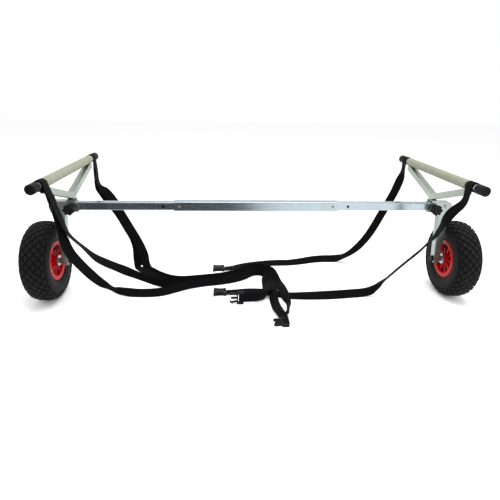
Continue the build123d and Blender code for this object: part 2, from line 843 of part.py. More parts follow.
def male_buckle(base):
    """Buckle tongue: a slotted base with two sprung prongs and a guide, towards -X of its plane."""
    length, width, height = male_base
    half = length / 2
    inset = 1.5
    with BuildSketch(base) as body:
        RectangleRounded(length, width, 3.0)
        with Locations((-4.5, 0)):
            Rectangle(glide_slot, strap_width + 4, mode=Mode.SUBTRACT)
    extrude(body.sketch, amount=height)
    for side in (-1, 1):
        with BuildSketch(base.offset(inset)) as prong:
            with BuildLine():
                Polyline(
                    (-half + 1, side * 9),
                    (-half - 8, side * 11),
                    (-half - male_prong + 8, side * 13),
                    (-half - male_prong, side * 10),
                    (-half - male_prong, side * 15),
                    (-half - male_prong + 8, side * 18.5),
                    (-half - 8, side * 16),
                    (-half + 1, side * 15),
                    close=True,
                )
            make_face()
        extrude(prong.sketch, amount=height - 2 * inset)
    with BuildSketch(base.offset(inset)) as guide:
        with Locations((-half + 1, 0)):
            Rectangle(male_prong - 3, 6, align=(Align.MAX, Align.CENTER))
    extrude(guide.sketch, amount=height - 2 * inset)


female_spots = [(-127.0, 203.0), (-120.0, -5.0)]
flat_male_spot = (80.0, -210.0)
edge_male_spot = (-52.0, -80.0)            # the second tongue stands on its edge


def make_buckles():
    """The two buckle housings and the two tongues, where they lie."""
    with BuildPart() as housings:
        for x, y in female_spots:
            female_buckle(x, y)
    save("right_female_buckles", housings)
    flat = Plane(origin=(*flat_male_spot, floor_gap))
    back_y = edge_male_spot[1] + male_base[2] / 2
    edge_z = floor_gap + male_base[1] / 2
    upright = Plane(origin=(edge_male_spot[0], back_y, edge_z), x_dir=(1, 0, 0), z_dir=(0, -1, 0))
    with BuildPart() as tongues:
        male_buckle(flat)
        male_buckle(upright)
    save("left_male_buckles", tongues)


# ---- strap routes: where the webbing hangs and lies ---------------------------------------
end_gap = 0.4              # from a strap's end to the piece it is sewn to
end_run = 23.0             # straight length at a strap's upper end
last_run = 27.0            # straight length at a strap's lower end
tail_line_x = pivot_x - tail_x
glide_bottom = left_tail_drop + glide_height
layer = 4.2                # half the distance between two layers of a doubled strap
housing_tail_z = 5.0
tail_spread = 5.5
flat_tail_y = flat_male_spot[1] + male_base[1] / 2
flat_tail_z = 5.2
edge_tail_x = edge_male_spot[0] + male_base[0] / 2
edge_low_z = 11.0
edge_high_z = 27.0


def drop_from(x, start_y, drop, tilt):
    """The two points of a strap's upper straight run, below a tail or an adjuster."""
    top = hang(drop + end_gap, tilt, start_y)
    low = hang(drop + end_gap + end_run, tilt, start_y)
    return [(x, *top), (x, *low)]


def into_housing(x, y):
    """The two points of a strap's lower straight run, into a housing at x, y."""
    end_x = x + female_size[0] / 2 + end_gap
    return [(end_x + last_run, y, housing_tail_z), (end_x, y, housing_tail_z)]


def into_tongue(dir_x, dir_y, x, y, z):
    """The two points of a strap's lower straight run, along a direction to a tongue's face."""
    end_x = x - dir_x * end_gap
    end_y = y - dir_y * end_gap
    return [(end_x - dir_x * last_run, end_y - dir_y * last_run, z), (end_x, end_y, z)]


strap_routes = {
    "right_front_strap": [
        *drop_from(tail_line_x, loop_front_y, tail_drop, 0),
        (548, -199, 350),
        (543, -186, 321),
        (539, -172, 292),
        (531, -159, 264),
        (519, -146, 240),
        (506, -128, 205),
        (488, -107, 170),
        (464, -85, 127),
        (440, -63, 82),
        (419, -45, 42),
        (398, -37, 14),
        (368, -38, 4.5),
        (335, -43, 4),
        (285, -49, 4),
        (225, -50, 4),
        (165, -47, 4),
        (112, -39, 4),
        (66, -16, 4),
        (22, 1, 4),
        (-24, 3, 4),
        *into_housing(*female_spots[1]),
    ],
    "right_rear_strap": [
        *drop_from(tail_line_x, loop_rear_y, tail_drop, 0),
        (558, 227, 352),
        (546, 228, 311),
        (530, 231, 270),
        (512, 233, 231),
        (494, 234, 188),
        (475, 238, 143),
        (451, 244, 100),
        (421, 252, 61),
        (387, 264, 30),
        (348, 276, 9),
        (305, 282, 4),
        (255, 275, 4),
        (203, 259, 4),
        (150, 249, 4),
        (100, 249, 4),
        (50, 245, 4),
        (0, 240, 4),
        (-40, 226, 4),
        *into_housing(*female_spots[0]),
    ],
    "left_front_strap_outer": [
        *drop_from(-tail_line_x - layer, loop_front_y, glide_bottom, glide_tilt),
        (-566, -160, 300),
        (-566, -150, 256),
        (-562, -134, 208),
        (-549, -110, 165),
        (-532, -82, 119),
        (-514, -55, 77),
        (-490, -32, 41),
        (-458, -17, 20),
        (-415, -16, 15.5),
        (-365, -19, 15.5),
        (-318, -14, 15.5),
        (-273, 9, 15.5),
        (-228, 37, 15.5),
        (-178, 55, 15.5),
        (-122, 66, 15.5),
        (-72, 83, 15.5),
        (-33, 106, 15.5),
        (-11, 131, 15.5),
        (5, 145.4, 15.5),
        (21.6, 149, 15.5),
        (37.4, 142.6, 15.5),
        (47, 128.4, 15.5),
        (47, 104, 16),
        (46, 70, 17),
        (45, 40, 20),
        (44, 14, 21.5),
        (38, -24, 21.5),
        (22, -52, 16),
        (4, -72, 12),
        *into_tongue(-1, 0, edge_tail_x, edge_male_spot[1], edge_low_z),
    ],
    "left_front_strap_inner": [
        *drop_from(-tail_line_x + layer, loop_front_y, glide_bottom, glide_tilt),
        (-555, -160, 300),
        (-551, -148, 270),
        (-544, -128, 244),
        (-530, -102, 210),
        (-512, -66, 162),
        (-487, -35, 130),
        (-450, 3, 92),
        (-414, 33, 58),
        (-378, 46, 36),
        (-340, 46, 20),
        (-300, 40, 15.5),
        (-262, 42, 15.5),
        (-222, 55, 15.5),
        (-178, 67, 15.5),
        (-125, 77, 15.5),
        (-77, 94, 15.5),
        (-40, 114, 15.5),
        (-17, 138, 15.5),
        (2, 160, 15.5),
        (30, 164, 15.5),
        (55, 146, 15.5),
        (58, 108, 16),
        (57, 72, 17),
        (56, 42, 20),
        (55, 16, 21.5),
        (49, -26, 21.5),
        (33, -58, 22),
        (10, -77, 25),
        *into_tongue(-1, 0, edge_tail_x, edge_male_spot[1], edge_high_z),
    ],
    "left_rear_strap_outer": [
        *drop_from(-tail_line_x - layer, loop_rear_y, glide_bottom, 0),
        (-559, 224, 299),
        (-525, 214, 267),
        (-495, 209, 232),
        (-470, 204, 182),
        (-451, 200, 128),
        (-448, 198, 90),
        (-449, 197, 60),
        (-447, 193, 34),
        (-434, 180, 17),
        (-408, 154, 15.5),
        (-374, 119, 15.5),
        (-340, 88, 15.5),
        (-301, 63, 15.5),
        (-262, 58, 15.5),
        (-222, 67, 15.5),
        (-180, 78, 15.5),
        (-128, 88, 15.5),
        (-82, 105, 15.5),
        (-47, 124, 15.5),
        (-24, 147, 15.5),
        (-4, 171, 15.5),
        (31, 176, 15.5),
        (65, 154, 15.5),
        (70, 112, 16),
        (69, 76, 17),
        (67, 46, 20),
        (66, 18, 21.5),
        (64, -24, 21.5),
        (61, -62, 15),
        (62, -100, 8),
        (66, -135, 6),
        *into_tongue(0, -1, flat_male_spot[0] - tail_spread, flat_tail_y, flat_tail_z),
    ],
    "left_rear_strap_inner": [
        *drop_from(-tail_line_x + layer, loop_rear_y, glide_bottom, 0),
        (-546, 220, 304),
        (-505, 205, 274),
        (-484, 200, 230),
        (-455, 193, 178),
        (-425, 187, 132),
        (-403, 181, 98),
        (-392, 176, 70),
        (-391, 171, 44),
        (-385, 162, 22),
        (-366, 145, 15.5),
        (-336, 114, 15.5),
        (-302, 88, 15.5),
        (-264, 76, 15.5),
        (-224, 80, 15.5),
        (-182, 89, 15.5),
        (-131, 99, 15.5),
        (-87, 116, 15.5),
        (-54, 135, 15.5),
        (-31, 158, 15.5),
        (-10, 182, 15.5),
        (32, 189, 15.5),
        (76, 162, 15.5),
        (83, 116, 16),
        (88, 80, 17),
        (92, 48, 20),
        (95, 16, 21.5),
        (99, -28, 21.5),
        (104, -64, 15),
        (106, -100, 8),
        (102, -135, 6),
        *into_tongue(0, -1, flat_male_spot[0] + tail_spread, flat_tail_y, flat_tail_z),
    ],
}


def make_strap(name, points):
    """Round stand-in for one layer of webbing: straight runs joined by tangent arcs."""
    corners = [Vector(*point) for point in points]
    radii = []
    for before, corner, after in zip(corners, corners[1:], corners[2:]):
        turn = radians((corner - before).get_angle(after - corner))
        shorter = min((corner - before).length, (after - corner).length)
        radii.append(0.45 * shorter / tan(turn / 2))
    with BuildPart() as strap:
        with BuildLine() as route:
            FilletPolyline(*corners, radius=radii)
        with BuildSketch(Plane(origin=route.line @ 0, z_dir=route.line % 0)):
            Circle(strap_r)
        sweep(path=route.line)
    length = sum(edge.length for edge in route.edges())
    ratio = strap.part.volume / (pi * strap_r**2 * length)
    print(f"{name}: {length:.0f} mm, least radius {min(radii):.1f}, volume ratio {ratio:.4f}")
    save(name, strap)


make_centre_tube()
make_inner_tube()
make_tube_end_plug()
make_snap_button()
make_snap_spring()
make_bracket()
make_leg()
make_leg_bolt()
make_pivot_bolt()
make_pivot_washers()
make_star_knob()
make_fork()
make_arm("front_arm", -1, front_reach)
make_arm("rear_arm", 1, rear_reach)
make_hull_bar()
make_bar_sleeve()
make_bar_caps()
make_tyre()
make_tyre_tube()
make_rim()
make_bearings()
make_axle()
make_axle_cap()
make_axle_spacers()
make_axle_nut()
make_strap_loops()
make_slide_adjusters()
make_buckles()
for strap_name, strap_points in strap_routes.items():
    make_strap(strap_name, strap_points)
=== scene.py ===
"""Looks for a telescopic boat launching cart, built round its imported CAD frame."""

import json
from math import asin, atan2, cos, pi, radians, sin, tan

import bmesh
import bpy
from mathutils import Matrix, Vector


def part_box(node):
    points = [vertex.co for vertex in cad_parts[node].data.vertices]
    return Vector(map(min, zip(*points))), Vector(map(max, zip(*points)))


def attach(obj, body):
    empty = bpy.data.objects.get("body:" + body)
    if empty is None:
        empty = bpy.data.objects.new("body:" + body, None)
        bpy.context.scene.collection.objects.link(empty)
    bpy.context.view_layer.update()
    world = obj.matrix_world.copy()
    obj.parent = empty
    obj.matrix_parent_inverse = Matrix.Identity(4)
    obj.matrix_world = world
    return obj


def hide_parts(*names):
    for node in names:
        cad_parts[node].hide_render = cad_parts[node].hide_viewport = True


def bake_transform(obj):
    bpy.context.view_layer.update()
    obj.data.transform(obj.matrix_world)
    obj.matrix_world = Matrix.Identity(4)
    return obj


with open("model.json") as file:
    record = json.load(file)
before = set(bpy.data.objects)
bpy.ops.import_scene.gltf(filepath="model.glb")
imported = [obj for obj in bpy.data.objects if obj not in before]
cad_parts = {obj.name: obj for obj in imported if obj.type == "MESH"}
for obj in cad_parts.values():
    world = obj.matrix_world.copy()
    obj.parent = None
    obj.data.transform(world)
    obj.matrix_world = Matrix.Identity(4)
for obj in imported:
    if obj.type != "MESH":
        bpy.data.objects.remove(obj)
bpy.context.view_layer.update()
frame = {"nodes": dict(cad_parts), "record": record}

bl_info = {
    "name": "Boat launching cart",
    "version": (1, 0, 0),
    "blender": (4, 5, 0),
    "location": "3D View > Sidebar > Cart",
    "description": "Tyres, webbing, finishes and a studio for a boat launching cart",
    "category": "Object",
}

NODES = frame["nodes"]
SIDES = {"right": 1, "left": -1}

# Places read from the frame, in metres
TYRE_LOW, TYRE_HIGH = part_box("right_tyre")
WHEEL = (TYRE_LOW + TYRE_HIGH) / 2
TYRE_R = (TYRE_HIGH.z - TYRE_LOW.z) / 2
BAR_LOW, BAR_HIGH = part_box("right_hull_bar")
BAR = (BAR_LOW + BAR_HIGH) / 2
BAR_R = (BAR_HIGH.z - BAR_LOW.z) / 2
# the two buckle tongues: middle of the lower face
TONGUE_FLAT = Vector((0.080, -0.210, 0.0003))
TONGUE_EDGE = Vector((-0.052, -0.075, 0.0223))

# ---- strap routes: control points, the width's direction in the air, and the landing ------
ROUTES = {
    "right_front_strap": {
        "body": "right",
        "buckle": "right_female_buckles",
        "length": 0.973,
        "landing": 12,
        "widths": (
            (0, (0, 1, 0)), (2, (-0.4, 0.8, 0.4)), (4, (0.2, 0.93, 0.25)), (6, (0.5, 0.8, 0.15)),
            (10, (0.55, 0.8, 0.2)), (11, (0.3, 0.75, 0.6)), (12, (0.15, 0.6, 0.8)),
            (13, (0, 0.47, 0.88)),
        ),
        "end": (0, 1, 0),
        "points": (
            (0.5653, -0.216, 0.4036), (0.5653, -0.216, 0.3806), (0.5430, -0.199, 0.350),
            (0.535, -0.186, 0.321), (0.533, -0.172, 0.292), (0.528, -0.159, 0.264),
            (0.519, -0.146, 0.240), (0.506, -0.128, 0.205), (0.488, -0.107, 0.170),
            (0.464, -0.085, 0.127), (0.440, -0.063, 0.082), (0.419, -0.045, 0.042),
            (0.398, -0.037, 0.020), (0.368, -0.038, 0.0145), (0.335, -0.043, 0.0150),
            (0.285, -0.049, 0.0145), (0.225, -0.050, 0.0125), (0.165, -0.047, 0.0100),
            (0.112, -0.039, 0.0070), (0.066, -0.016, 0.0050), (0.022, 0.001, 0.0050),
            (-0.024, 0.003, 0.0065), (-0.0711, -0.005, 0.0065), (-0.0981, -0.005, 0.0065),
        ),
    },
    "right_rear_strap": {
        "body": "right",
        "buckle": "right_female_buckles",
        "length": 0.935,
        "landing": 11,
        "widths": (
            (0, (0, 1, 0)), (2, (-0.8, 0.5, 0.3)), (6, (-0.8, 0.45, 0.4)), (8, (-0.55, 0.7, 0.45)),
            (10, (-0.05, 0.95, 0.3)),
        ),
        "end": (0, 1, 0),
        "points": (
            (0.5653, 0.226, 0.4036), (0.5653, 0.226, 0.3806), (0.558, 0.227, 0.352),
            (0.546, 0.228, 0.311), (0.530, 0.231, 0.270), (0.512, 0.233, 0.231),
            (0.494, 0.234, 0.188), (0.475, 0.238, 0.143), (0.451, 0.244, 0.100),
            (0.421, 0.252, 0.061), (0.387, 0.264, 0.030), (0.348, 0.276, 0.014),
            (0.305, 0.282, 0.0130), (0.255, 0.275, 0.0120), (0.203, 0.259, 0.0100),
            (0.150, 0.249, 0.0085), (0.100, 0.249, 0.0090), (0.050, 0.245, 0.0080),
            (0.000, 0.240, 0.0060), (-0.040, 0.226, 0.0060), (-0.0781, 0.203, 0.0065),
            (-0.1051, 0.203, 0.0065),
        ),
    },
    "left_front_strap_outer": {
        "body": "left",
        "buckle": "left_male_buckles",
        "length": 1.218,
        "landing": 9,
        "widths": (
            (0, (0, 0.89, 0.46)), (2, (0.35, 0.85, 0.35)), (4, (0.85, 0.45, 0.3)),
            (6, (0.67, 0.48, 0.57)), (7, (0.7, 0.1, 0.6)), (8, (0.75, -0.4, 0.5)),
            (24, (0.8, 0, 0.6)), (25, (0.94, 0, 0.34)), (28, (0.92, 0.2, 0.34)),
        ),
        "end": (0, 0, 1),
        "points": (
            (-0.5695, -0.1809, 0.356), (-0.5695, -0.1704, 0.3355), (-0.566, -0.160, 0.300),
            (-0.566, -0.150, 0.256), (-0.562, -0.134, 0.208), (-0.549, -0.110, 0.165),
            (-0.532, -0.082, 0.119), (-0.514, -0.055, 0.077), (-0.490, -0.032, 0.041),
            (-0.458, -0.017, 0.020), (-0.415, -0.016, 0.0120), (-0.365, -0.019, 0.0120),
            (-0.318, -0.014, 0.0130), (-0.273, 0.009, 0.0155), (-0.228, 0.037, 0.0155),
            (-0.178, 0.055, 0.0155), (-0.122, 0.066, 0.0155), (-0.072, 0.083, 0.0155),
            (-0.033, 0.106, 0.0155), (-0.011, 0.131, 0.0155), (0.005, 0.1454, 0.0155),
            (0.0216, 0.149, 0.0155), (0.0374, 0.1426, 0.0155), (0.047, 0.1284, 0.0155),
            (0.047, 0.104, 0.0120), (0.046, 0.070, 0.0066), (0.045, 0.040, 0.0090),
            (0.044, 0.014, 0.0160), (0.038, -0.024, 0.0160), (0.022, -0.052, 0.0140),
            (0.004, -0.072, 0.0200), (-0.0136, -0.0785, 0.0215), (-0.0406, -0.0785, 0.0220),
        ),
    },
    "left_front_strap_inner": {
        "body": "left",
        "buckle": "left_male_buckles",
        "length": 1.210,
        "landing": 11,
        "widths": (
            (0, (0, 0.89, 0.46)), (4, (-0.35, 0.9, 0.1)), (7, (0.1, 0.8, 0.6)), (9, (0.3, -0.1, 0.95)),
            (23, (0.8, 0, 0.6)), (24, (0.94, 0, 0.34)), (27, (0.92, 0.2, 0.34)),
        ),
        "end": (0, 0, 1),
        "points": (
            (-0.5611, -0.1809, 0.356), (-0.5611, -0.1704, 0.3355), (-0.555, -0.160, 0.300),
            (-0.551, -0.148, 0.270), (-0.544, -0.128, 0.244), (-0.530, -0.102, 0.210),
            (-0.512, -0.066, 0.162), (-0.487, -0.035, 0.130), (-0.450, 0.003, 0.092),
            (-0.414, 0.033, 0.058), (-0.378, 0.046, 0.036), (-0.340, 0.046, 0.020),
            (-0.300, 0.040, 0.0155), (-0.262, 0.042, 0.0155), (-0.222, 0.055, 0.0155),
            (-0.178, 0.067, 0.0155), (-0.125, 0.077, 0.0155), (-0.077, 0.094, 0.0155),
            (-0.040, 0.114, 0.0155), (-0.017, 0.138, 0.0155), (0.002, 0.160, 0.0155),
            (0.030, 0.164, 0.0155), (0.055, 0.146, 0.0155), (0.058, 0.108, 0.0120),
            (0.057, 0.072, 0.0066), (0.056, 0.042, 0.0090), (0.055, 0.016, 0.0160),
            (0.049, -0.026, 0.0160), (0.033, -0.058, 0.0150), (0.010, -0.077, 0.0210),
            (-0.0136, -0.0815, 0.0215), (-0.0406, -0.0815, 0.0220),
        ),
    },
    "left_rear_strap_outer": {
        "body": "left",
        "buckle": "left_male_buckles",
        "length": 1.296,
        "landing": 10,
        "widths": (
            (0, (0, 1, 0)), (2, (0.77, 0.4, 0.5)), (4, (0.81, 0.34, 0.48)), (6, (0.94, 0.29, 0.2)),
            (8, (0.97, 0.22, 0)), (9, (0.8, 0.5, 0.3)), (25, (0.8, 0, 0.6)), (26, (0.94, 0, 0.34)),
            (30, (0.94, 0, 0.34)),
        ),
        "end": (1, 0, 0),
        "points": (
            (-0.5695, 0.226, 0.3476), (-0.5695, 0.226, 0.3246), (-0.548, 0.224, 0.303),
            (-0.525, 0.214, 0.267), (-0.495, 0.209, 0.232), (-0.470, 0.204, 0.182),
            (-0.442, 0.200, 0.128), (-0.436, 0.198, 0.090), (-0.437, 0.197, 0.060),
            (-0.436, 0.193, 0.034), (-0.429, 0.180, 0.017), (-0.408, 0.154, 0.0155),
            (-0.374, 0.119, 0.0155), (-0.340, 0.088, 0.0155), (-0.301, 0.063, 0.0155),
            (-0.262, 0.058, 0.0155), (-0.222, 0.067, 0.0155), (-0.180, 0.078, 0.0155),
            (-0.128, 0.088, 0.0155), (-0.082, 0.105, 0.0155), (-0.047, 0.124, 0.0155),
            (-0.024, 0.147, 0.0155), (-0.004, 0.171, 0.0155), (0.031, 0.176, 0.0155),
            (0.065, 0.154, 0.0155), (0.070, 0.112, 0.0120), (0.069, 0.076, 0.0066),
            (0.067, 0.046, 0.0090), (0.066, 0.018, 0.0160), (0.064, -0.024, 0.0160),
            (0.061, -0.062, 0.0090), (0.062, -0.100, 0.0070), (0.066, -0.135, 0.0100),
            (0.0745, -0.1606, 0.0080), (0.0790, -0.1876, 0.0075),
        ),
    },
    "left_rear_strap_inner": {
        "body": "left",
        "buckle": "left_male_buckles",
        "length": 1.266,
        "landing": 11,
        "widths": (
            (0, (0, 1, 0)), (2, (0.7, 0.35, 0.63)), (5, (0.83, 0.34, 0.45)), (8, (0.95, 0.25, 0.17)),
            (10, (0.7, 0.5, 0.5)), (24, (0.8, 0, 0.6)), (25, (0.94, 0, 0.34)), (29, (0.94, 0, 0.34)),
        ),
        "end": (0.6, 0, 0.8),
        "points": (
            (-0.5611, 0.226, 0.3476), (-0.5611, 0.226, 0.3246), (-0.535, 0.220, 0.307),
            (-0.505, 0.205, 0.274), (-0.484, 0.200, 0.230), (-0.455, 0.193, 0.178),
            (-0.430, 0.187, 0.132), (-0.413, 0.181, 0.098), (-0.404, 0.176, 0.070),
            (-0.402, 0.171, 0.044), (-0.393, 0.162, 0.022), (-0.366, 0.145, 0.0155),
            (-0.336, 0.114, 0.0155), (-0.302, 0.088, 0.0155), (-0.264, 0.076, 0.0155),
            (-0.224, 0.080, 0.0155), (-0.182, 0.089, 0.0155), (-0.131, 0.099, 0.0155),
            (-0.087, 0.116, 0.0155), (-0.054, 0.135, 0.0155), (-0.031, 0.158, 0.0155),
            (-0.010, 0.182, 0.0155), (0.032, 0.189, 0.0155), (0.076, 0.162, 0.0155),
            (0.083, 0.116, 0.0120), (0.088, 0.080, 0.0066), (0.092, 0.048, 0.0090),
            (0.095, 0.016, 0.0160), (0.099, -0.028, 0.0160), (0.104, -0.064, 0.0130),
            (0.106, -0.100, 0.0155), (0.102, -0.135, 0.0150), (0.0905, -0.1606, 0.0150),
            (0.0855, -0.1876, 0.0140),
        ),
    },
}


# ---- sizes and colours that a user may change ---------------------------------------------
class CartWebbing(bpy.types.PropertyGroup):
    """Woven straps."""

    width: bpy.props.FloatProperty(
        name="Width", description="Width of the webbing", default=0.030, unit="LENGTH"
    )
    thickness: bpy.props.FloatProperty(
        name="Thickness", description="Thickness of one layer", default=0.0016, unit="LENGTH"
    )


class CartTyres(bpy.types.PropertyGroup):
    """Pneumatic tyres."""

    pitch: bpy.props.FloatProperty(
        name="Tread pitch", description="Spacing of the tread's diamonds", default=0.0272,
        unit="LENGTH",
    )
    depth: bpy.props.FloatProperty(
        name="Tread depth", description="Height of the diamonds", default=0.0038, unit="LENGTH"
    )


class CartFinish(bpy.types.PropertyGroup):
    """Colours of the finishes."""

    rim: bpy.props.StringProperty(
        name="Rims", description="sRGB hex colour of the moulded rims", default="a60d10"
    )
    sleeve: bpy.props.StringProperty(
        name="Sleeves", description="sRGB hex colour of the bar sleeves", default="808272"
    )
    webbing: bpy.props.StringProperty(
        name="Webbing", description="sRGB hex colour of the straps", default="060608"
    )


class CartStudio(bpy.types.PropertyGroup):
    """Camera."""

    lens: bpy.props.FloatProperty(
        name="Lens", description="Focal length on a 36 mm sensor", default=30.35, min=10.0
    )


# ---- helpers ------------------------------------------------------------------------------
def linear(code):
    """An sRGB hex colour as linear RGBA."""
    channels = [int(code[i : i + 2], 16) / 255 for i in (0, 2, 4)]
    return [c / 12.92 if c <= 0.04045 else ((c + 0.055) / 1.055) ** 2.4 for c in channels] + [1.0]


def add(material, kind, values=(), links=(), **settings):
    """Add a node, set its settings and socket values, and link (socket, node, output)."""
    tree = material.node_tree
    node = tree.nodes.new(kind)
    for name, value in settings.items():
        setattr(node, name, value)
    for socket, value in dict(values).items():
        node.inputs[socket].default_value = value
    for socket, source, output in links:
        tree.links.new(source.outputs[output], node.inputs[socket])
    return node


def ramp(material, source, output, low, high, start=0.3, end=0.7):
    """A two-colour ramp driven by a value."""
    node = add(material, "ShaderNodeValToRGB", links=[("Fac", source, output)])
    node.color_ramp.elements[0].position = start
    node.color_ramp.elements[0].color = low
    node.color_ramp.elements[1].position = end
    node.color_ramp.elements[1].color = high
    return node


def spread(material, source, output, low, high):
    """A value from low to high driven by a pattern of 0 to 1."""
    return add(
        material,
        "ShaderNodeMapRange",
        values={"To Min": low, "To Max": high},
        links=[("Value", source, output)],
    )


def new_material(name):
    """A material with one Principled shader, and that shader."""
    material = bpy.data.materials.new(name)
    material.use_nodes = True
    return material, material.node_tree.nodes["Principled BSDF"]


def join(material, source, output, target, socket):
    material.node_tree.links.new(source.outputs[output], target.inputs[socket])


def placed(material, stretch=(1, 1, 1)):
    """Object coordinates, stretched along the axes."""
    where = add(material, "ShaderNodeTexCoord")
    return add(
        material, "ShaderNodeMapping", values={"Scale": stretch}, links=[("Vector", where, "Object")]
    )


def noise(material, where, size_m, detail=3.0, roughness=0.5):
    """Noise whose largest features are size_m across."""
    return add(
        material,
        "ShaderNodeTexNoise",
        values={"Scale": 1.0 / size_m, "Detail": detail, "Roughness": roughness},
        links=[("Vector", where, 0)],
    )


def bump(material, shader, height, output, depth_m, strength=1.0):
    """Bump of a real depth on the shader."""
    node = add(
        material,
        "ShaderNodeBump",
        values={"Strength": strength, "Distance": depth_m},
        links=[("Height", height, output)],
    )
    join(material, node, "Normal", shader, "Normal")
    return node


def zinc(name, dark, light, roughness, grain):
    """Zinc plating: soft grey metal, faint patches in tone, fine marks along the work."""
    material, shader = new_material(name)
    patches = noise(material, placed(material), 0.035, 4.0)
    colour = ramp(material, patches, "Fac", linear(dark), linear(light))
    join(material, colour, "Color", shader, "Base Color")
    marks = noise(material, placed(material, grain), 0.0012, 2.0)
    rough = spread(material, marks, "Fac", roughness - 0.04, roughness + 0.05)
    join(material, rough, "Result", shader, "Roughness")
    shader.inputs["Metallic"].default_value = 1.0
    # drawing and rolling marks are finer than this, drawn coarse enough to show
    bump(material, shader, marks, "Fac", 0.00003, 0.25)
    return material


def moulded(name, code, roughness, grain_m, depth_m, tone=0.12, coat=0.0, specular=0.14):
    """Moulded plastic or rubber: even colour, fine grain from the mould, duller where handled."""
    material, shader = new_material(name)
    wide = noise(material, placed(material), 0.03, 3.0)
    base = linear(code)
    low = [c * (1 - tone) for c in base[:3]] + [1.0]
    high = [min(1.0, c * (1 + tone)) for c in base[:3]] + [1.0]
    colour = ramp(material, wide, "Fac", low, high)
    join(material, colour, "Color", shader, "Base Color")
    rough = spread(material, wide, "Fac", roughness - 0.05, roughness + 0.07)
    join(material, rough, "Result", shader, "Roughness")
    grain = noise(material, placed(material), grain_m, 2.0)
    bump(material, shader, grain, "Fac", depth_m, 0.6)
    shader.inputs["IOR"].default_value = 1.49
    shader.inputs["Specular IOR Level"].default_value = specular
    shader.inputs["Coat Weight"].default_value = coat
    shader.inputs["Coat Roughness"].default_value = 0.12
    return material


def webbing(name, code):
    """Plain-woven polyester: ribs across the width every 1.6 mm, soft sheen, tight edges."""
    material, shader = new_material(name)
    uv = add(material, "ShaderNodeUVMap", uv_map="weave")
    ribs = add(
        material,
        "ShaderNodeTexWave",
        values={"Scale": 0.5 / 0.0016, "Distortion": 0.6, "Detail": 1.0, "Detail Scale": 2.0},
        links=[("Vector", uv, "UV")],
        bands_direction="Y",
    )
    yarns = add(
        material,
        "ShaderNodeTexWave",
        values={"Scale": 0.5 / 0.0011, "Distortion": 0.3},
        links=[("Vector", uv, "UV")],
        bands_direction="X",
    )
    weave = add(
        material,
        "ShaderNodeMath",
        links=[(0, ribs, "Fac"), (1, yarns, "Fac")],
        operation="MULTIPLY",
    )
    base = linear(code)
    dark = [c * 0.55 for c in base[:3]] + [1.0]
    light = [min(1.0, c * 1.7) for c in base[:3]] + [1.0]
    colour = ramp(material, weave, "Value", dark, light, 0.1, 0.8)
    join(material, colour, "Color", shader, "Base Color")
    shader.inputs["Roughness"].default_value = 0.72
    shader.inputs["Specular IOR Level"].default_value = 0.05
    shader.inputs["Sheen Weight"].default_value = 0.01
    shader.inputs["Sheen Roughness"].default_value = 0.5
    bump(material, shader, weave, "Value", 0.0003, 0.7)
    return material


MATERIALS = {}


def make_materials(finish):
    """Every finish on the cart, by name."""
    MATERIALS.update(
        drawn_zinc_tube=zinc("drawn zinc-plated tube", "98a4ab", "a1adb4", 0.22, (0.02, 1, 1)),
        green_zinc_arm=zinc("green-passivated zinc tube", "97a196", "a3ada2", 0.34, (1, 0.05, 1)),
        folded_zinc_sheet=zinc("folded zinc-plated sheet", "8f9893", "9aa39e", 0.30, (1, 1, 0.1)),
        bright_bar=zinc("bright zinc-plated bar", "a2a8ac", "b0b5b9", 0.26, (1, 0.03, 1)),
        zinc_fastener=zinc("zinc-plated fastener", "8b8f92", "989c9e", 0.30, (1, 1, 1)),
        yellow_brass=zinc("yellow-passivated brass", "7c7663", "8b8571", 0.34, (1, 1, 1)),
        spring_steel=zinc("oiled spring steel", "50545a", "5c6066", 0.36, (1, 1, 0.1)),
        black_nylon=moulded("moulded black nylon", "070708", 0.50, 0.0009, 0.00004),
        buckle_acetal=moulded("moulded acetal buckle", "0b0b0e", 0.44, 0.0008, 0.00003),
        sleeve_pvc=moulded("extruded PVC sleeve", finish.sleeve, 0.52, 0.0011, 0.00005, 0.07),
        cap_rubber=moulded("moulded rubber cap", "060607", 0.60, 0.0012, 0.00006),
        tyre_rubber=moulded("vulcanised tyre rubber", "0d0d0e", 0.66, 0.0015, 0.00010, 0.2),
        tube_rubber=moulded("butyl air tube", "101011", 0.55, 0.0010, 0.00003),
        red_polypropylene=moulded(
            "glossy red polypropylene", finish.rim, 0.40, 0.0011, 0.00002, 0.08, 0.03
        ),
        polyester_webbing=webbing("woven polyester webbing", finish.webbing),
    )


NODE_FINISH = {
    "left_front_arm": "green_zinc_arm",
    "left_rear_arm": "green_zinc_arm",
    "right_front_arm": "green_zinc_arm",
    "right_rear_arm": "green_zinc_arm",
}
SLOT_FINISH = {
    "zinc_tube": "drawn_zinc_tube",
    "zinc_sheet": "folded_zinc_sheet",
    "bar_steel": "bright_bar",
    "fastener_steel": "zinc_fastener",
    "bearing_steel": "zinc_fastener",
    "spring_steel": "spring_steel",
    "brass": "yellow_brass",
    "black_plastic": "black_nylon",
    "buckle_plastic": "buckle_acetal",
    "grey_plastic": "sleeve_pvc",
    "black_rubber": "cap_rubber",
    "tyre_rubber": "tyre_rubber",
    "tube_rubber": "tube_rubber",
    "red_plastic": "red_polypropylene",
    "black_webbing": "polyester_webbing",
}


def finished(name, bm, finish, body, smooth=True):
    """Turn a bmesh into a piece with its finish, riding on a body."""
    mesh = bpy.data.meshes.new(name)
    bm.to_mesh(mesh)
    bm.free()
    if smooth:
        mesh.shade_smooth()
        mesh.set_sharp_from_angle(angle=radians(38))
    piece = bpy.data.objects.new(name, mesh)
    bpy.context.collection.objects.link(piece)
    mesh.materials.append(MATERIALS[finish])
    if body:
        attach(piece, body)
    return piece


